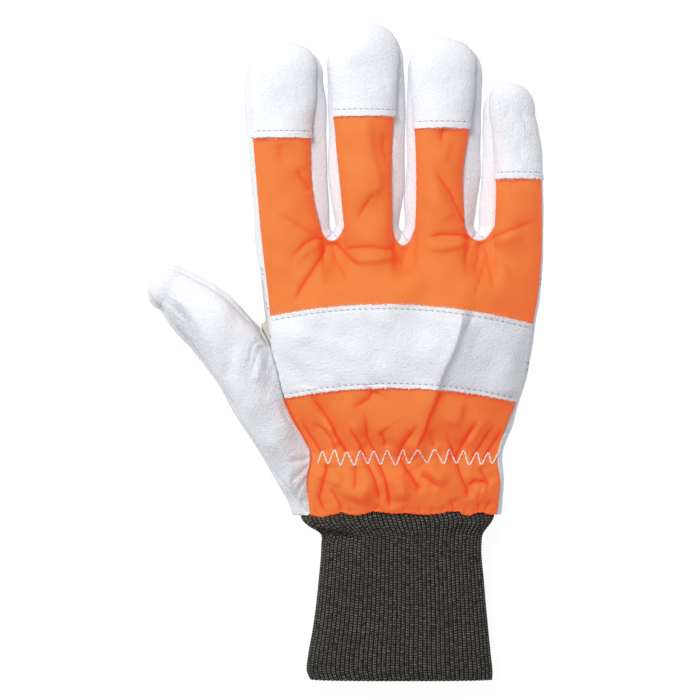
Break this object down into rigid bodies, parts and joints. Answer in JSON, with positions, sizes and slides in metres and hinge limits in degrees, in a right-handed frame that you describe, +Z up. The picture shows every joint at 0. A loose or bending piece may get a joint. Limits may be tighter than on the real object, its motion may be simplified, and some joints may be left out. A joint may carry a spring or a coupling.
{
  "type": "chainsaw work glove",
  "caption": "Right-hand work glove lying palm down: orange cloth back, white leather palm, thumb, fingertips and knuckle strap, gathered wrist and black ribbed knit cuff.",
  "frame": {"origin": "a point on the flat of the palm's underside, at the middle of the glove's length and width, on the surface it lies on", "axes": "+X from the thumb towards the little finger, +Y from the cuff to the fingertips, +Z up out of the back of the hand"},
  "size_m": [0.1724, 0.2857, 0.0347],
  "materials": {
    "white_leather": "soft white grain leather with a faint sheen",
    "orange_cloth": "bright orange tightly woven cloth with a slight sheen",
    "black_knit": "matte black rib knit"
  },
  "bodies": {
    "root": {"palm_panel": "white_leather", "thumb": "white_leather", "back_panel": "orange_cloth", "index_cap": "white_leather", "middle_cap": "white_leather", "ring_cap": "white_leather", "little_cap": "white_leather", "index_right_strip": "white_leather", "middle_left_strip": "white_leather", "middle_right_strip": "white_leather", "ring_left_strip": "white_leather", "ring_right_strip": "white_leather", "little_left_strip": "white_leather", "index_crotch_gusset": "white_leather", "middle_crotch_gusset": "white_leather", "ring_crotch_gusset": "white_leather", "knuckle_strap": "white_leather", "wrist_panel": "orange_cloth", "knit_cuff": "black_knit"}
  },
  "joints": []
}
